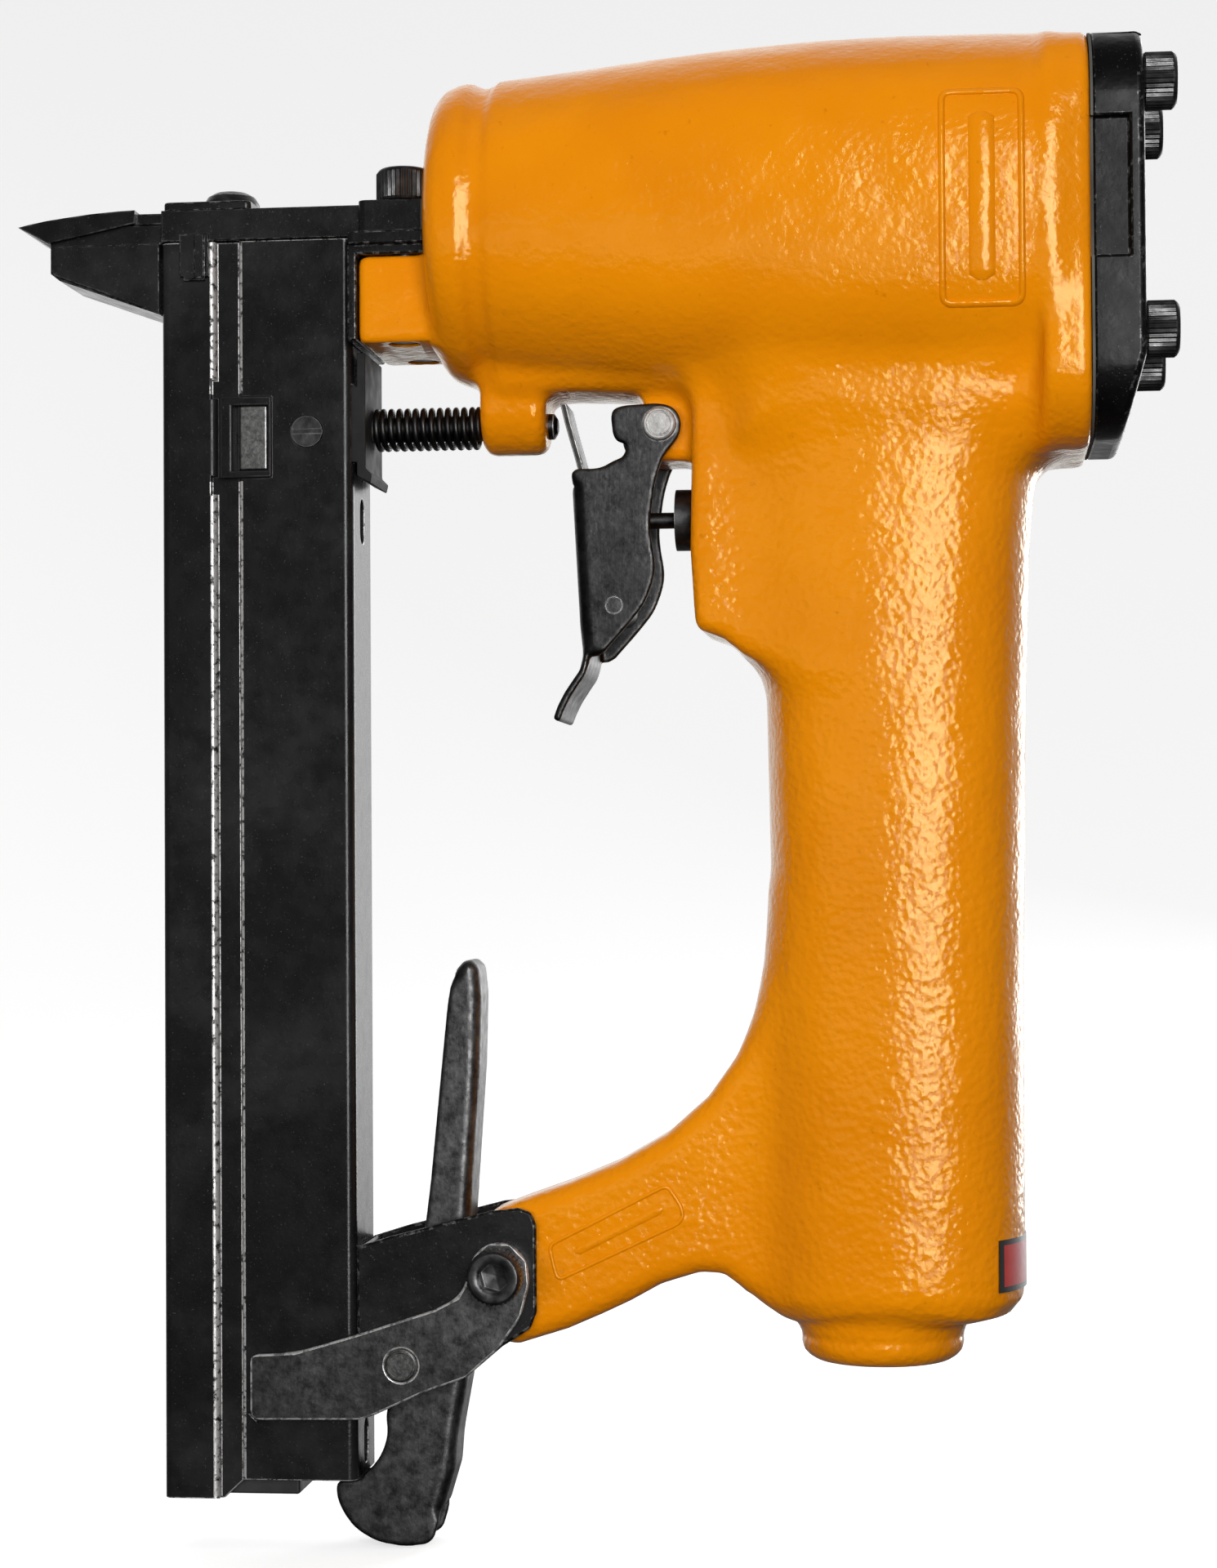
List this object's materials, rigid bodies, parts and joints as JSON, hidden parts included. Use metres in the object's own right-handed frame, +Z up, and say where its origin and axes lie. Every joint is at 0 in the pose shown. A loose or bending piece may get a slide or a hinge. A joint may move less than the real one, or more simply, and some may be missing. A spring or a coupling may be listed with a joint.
{
  "type": "pneumatic stapler",
  "caption": "Fine-wire pneumatic stapler: cast body with grip, side-opening stick magazine, contact safety, trigger valve, piston driver and magazine latch.",
  "frame": {"origin": "centre of the air inlet mouth under the handle", "axes": "+X from the nose to the rear cap along the driver, +Y across the tool away from the viewer, +Z up the handle and magazine"},
  "size_m": [0.1785, 0.0508, 0.2314],
  "materials": {
    "orange_paint": "glossy powder coat, fine orange peel",
    "black_coat": "glossy black electro coat",
    "black_cast": "semi-gloss black paint on a casting",
    "black_oxide": "black oxide, satin",
    "blued_steel": "dark blued spring steel, satin",
    "tempered_steel": "tempered spring steel, satin, finely mottled",
    "matte_black": "matte black phosphate",
    "bright_steel": "turned bright steel",
    "ground_steel": "ground tool steel",
    "aluminium": "machined",
    "black_rubber": "nitrile rubber",
    "amber_bumper": "polyurethane",
    "black_nylon": "acetal",
    "fibre": "gasket fibre",
    "red_film": "printed film"
  },
  "bodies": {
    "tool_body": {"gun_body": "orange_paint", "cylinder_cap": "black_cast", "cap_gasket": "fibre", "cap_screws": "black_oxide", "cylinder_sleeve": "aluminium", "sleeve_orings": "black_rubber", "bumper": "amber_bumper", "head_valve_spring": "bright_steel", "nose_plate": "black_coat", "nose_rear_plate": "black_coat", "head_bracket": "black_coat", "nose_screws": "black_oxide", "cover_plate": "black_coat", "button_screw": "black_oxide", "safety_spring": "blued_steel", "trigger_pin": "bright_steel", "valve_housing": "black_oxide", "valve_oring": "black_rubber", "valve_spring": "bright_steel", "magazine_channel": "black_coat", "channel_keys": "ground_steel", "channel_rivets": "black_oxide", "arm_bracket": "black_coat", "side_links": "tempered_steel", "arm_bolt": "black_oxide", "arm_nut": "black_oxide", "latch_pin": "ground_steel", "latch_spring": "bright_steel", "grip_label": "red_film"},
    "driver": {"piston": "aluminium", "piston_oring": "black_rubber", "driver_pin": "bright_steel", "driver_blade": "ground_steel"},
    "head_valve_piston": {"head_valve": "black_nylon", "head_valve_oring": "black_rubber"},
    "contact_safety": {"contact_foot": "black_coat", "safety_yoke": "matte_black", "safety_rod": "blued_steel"},
    "trigger_assembly": {"trigger": "blued_steel", "idle_pin": "black_oxide"},
    "idle_lever": {"idle_lever": "blued_steel"},
    "trigger_valve_stem": {"valve_stem": "blued_steel"},
    "magazine_slide": {"magazine_cover": "black_coat", "staple_rail": "ground_steel", "rail_end_block": "black_nylon", "pusher_rod": "bright_steel", "pusher_spring": "bright_steel"},
    "staple_pusher": {"pusher": "bright_steel"},
    "magazine_latch": {"latch_lever": "tempered_steel"}
  },
  "joints": [
    {"name": "driver_stroke", "type": "slide", "parent": "tool_body", "child": "driver", "axis": [-1, 0, 0], "range_m": [0, 0.046]},
    {"name": "head_valve_lift", "type": "slide", "parent": "tool_body", "child": "head_valve_piston", "axis": [1, 0, 0], "range_m": [0, 0.003], "stiffness_N_per_m": 1500, "springref_m": -0.004, "deforming": ["head_valve_spring"]},
    {"name": "safety_slide", "type": "slide", "parent": "tool_body", "child": "contact_safety", "axis": [1, 0, 0], "range_m": [0, 0.004], "stiffness_N_per_m": 700, "springref_m": -0.01, "deforming": ["safety_spring"]},
    {"name": "trigger_pull", "type": "hinge", "parent": "tool_body", "child": "trigger_assembly", "pos_m": [-0.0326, 0, 0.1429], "axis": [0, -1, 0], "range_deg": [0, 9], "stiffness_Nm_per_rad": 1.2, "springref_deg": -11.46},
    {"name": "valve_stem_push", "type": "slide", "parent": "tool_body", "child": "trigger_valve_stem", "axis": [1, 0, 0], "range_m": [0, 0.00225], "deforming": ["valve_spring"]},
    {"name": "idle_lever_turn", "type": "hinge", "parent": "trigger_assembly", "child": "idle_lever", "pos_m": [-0.0398, 0, 0.1153], "axis": [0, 1, 0], "range_deg": [0, 7.6]},
    {"name": "magazine_open", "type": "slide", "parent": "tool_body", "child": "magazine_slide", "axis": [0, 0, -1], "range_m": [0, 0.09]},
    {"name": "pusher_travel", "type": "slide", "parent": "magazine_slide", "child": "staple_pusher", "axis": [0, 0, -1], "range_m": [0, 0.1], "stiffness_N_per_m": 20, "springref_m": -0.1, "deforming": ["pusher_spring"]},
    {"name": "latch_turn", "type": "hinge", "parent": "tool_body", "child": "magazine_latch", "pos_m": [-0.0731, 0, -0.0005], "axis": [0, -1, 0], "range_deg": [0, 12], "stiffness_Nm_per_rad": 0.4, "springref_deg": -17.19}
  ],
  "couplings": [
    {"joint": "valve_stem_push", "follows": "trigger_pull", "m_per_rad": 0.014},
    {"joint": "idle_lever_turn", "follows": "safety_slide", "rad_per_m": 32.5}
  ]
}
